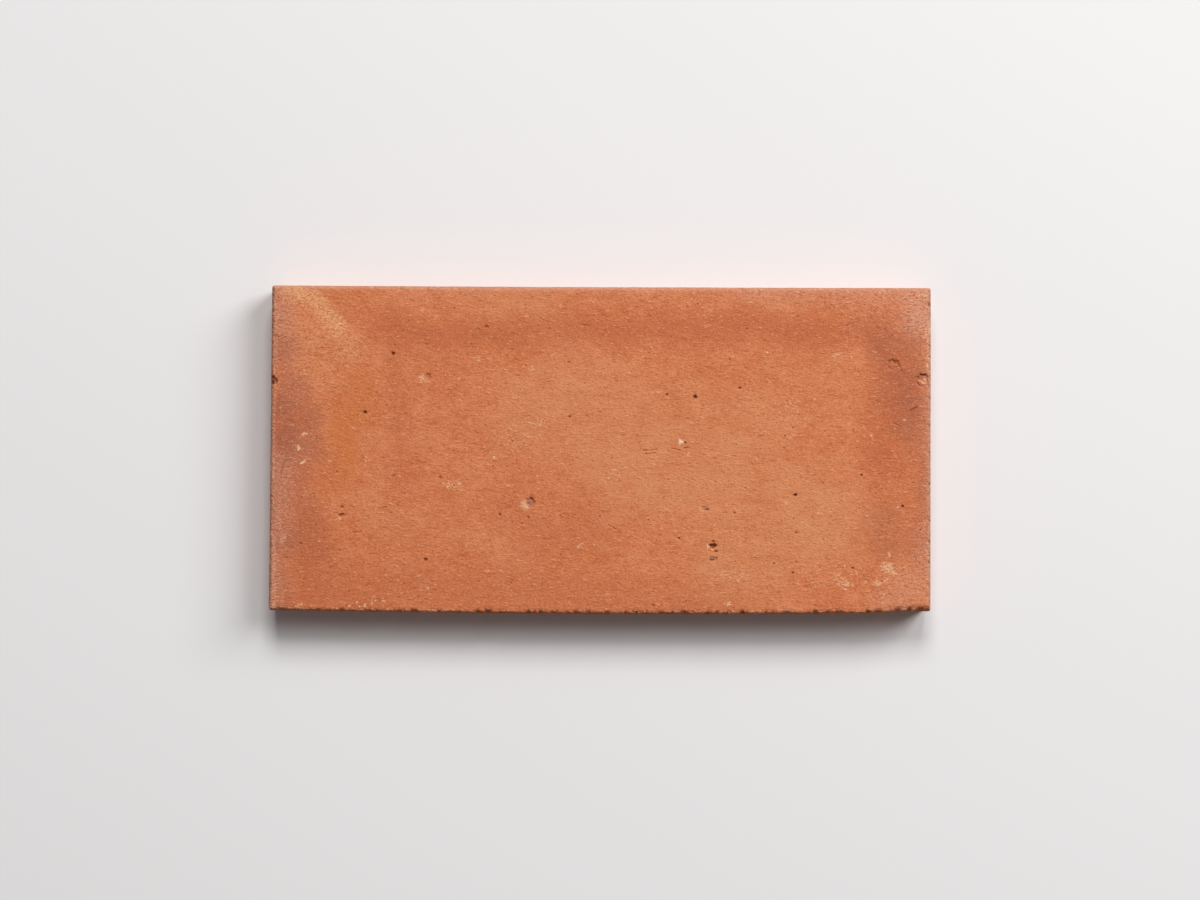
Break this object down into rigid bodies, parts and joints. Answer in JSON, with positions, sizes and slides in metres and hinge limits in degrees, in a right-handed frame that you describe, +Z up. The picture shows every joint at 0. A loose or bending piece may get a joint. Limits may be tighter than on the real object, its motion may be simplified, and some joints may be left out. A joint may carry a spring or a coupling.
{
  "type": "terracotta floor tile",
  "caption": "Handmade oblong terracotta floor tile, slightly out of square, with worn arrises, a pitted matt wear face and a flat bed, for laying in mortar.",
  "frame": {"origin": "centre of the plan's box, on the bed face", "axes": "+X along the tile's length, +Y across it towards its hollow back edge, +Z up out of the wear face"},
  "size_m": [0.3, 0.1486, 0.02],
  "materials": {
    "terracotta": "matt unglazed fired clay, orange-red with deeper red firing bands, pale lime grains and small pits"
  },
  "bodies": {
    "root": {"tile": "terracotta"}
  },
  "joints": []
}
